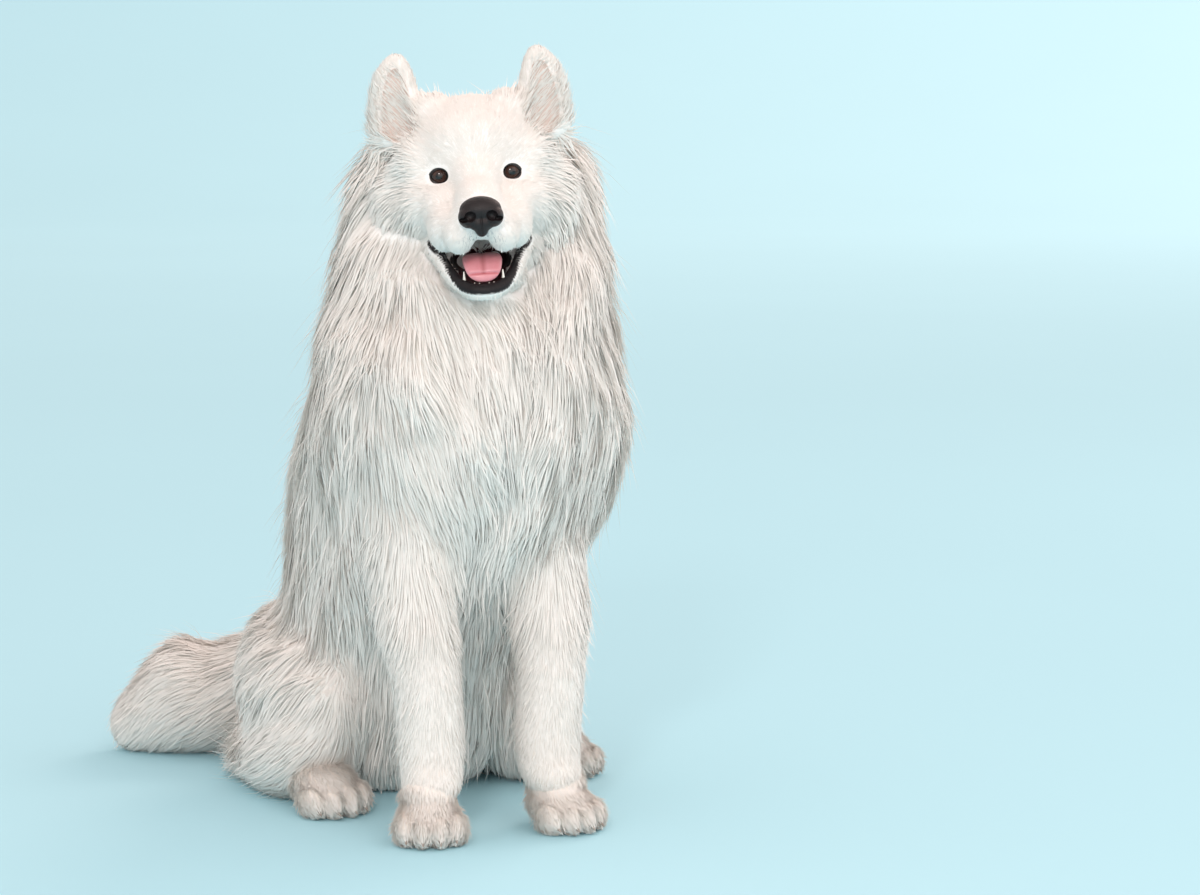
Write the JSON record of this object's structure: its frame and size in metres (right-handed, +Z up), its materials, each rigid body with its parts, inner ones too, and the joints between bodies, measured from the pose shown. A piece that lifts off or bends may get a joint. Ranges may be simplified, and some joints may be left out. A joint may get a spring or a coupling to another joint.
{
  "type": "samoyed",
  "caption": "Still life-size model of a white samoyed dog sitting on the floor, its head turned and mouth open, with ruff, coat locks and bushy tail",
  "frame": {"origin": "On the floor, at the middle of the flat that the rump rests on.", "axes": "+Z up, the dog faces -Y, its left side is +X. Its height along Z is the longest side of its box."},
  "size_m": [0.4685, 0.6458, 0.7525],
  "materials": {
    "coat": "long soft white fur over pale skin, cream in its hollows",
    "nose": "near-black pebbled leather, slightly moist",
    "eye": "wet dark brown eye",
    "tongue": "moist pink flesh"
  },
  "bodies": {
    "root": {"head": "coat", "lower_jaw": "coat", "ear_left": "coat", "ear_right": "coat", "eye_left": "eye", "eye_right": "eye", "nose": "nose", "tongue": "tongue", "neck": "coat", "torso": "coat", "foreleg_left": "coat", "foreleg_right": "coat", "forepaw_left": "coat", "forepaw_right": "coat", "hindleg_left": "coat", "hindleg_right": "coat", "hindpaw_left": "coat", "hindpaw_right": "coat", "tail_root": "coat", "tail_middle": "coat", "tail_brush": "coat"}
  },
  "joints": []
}
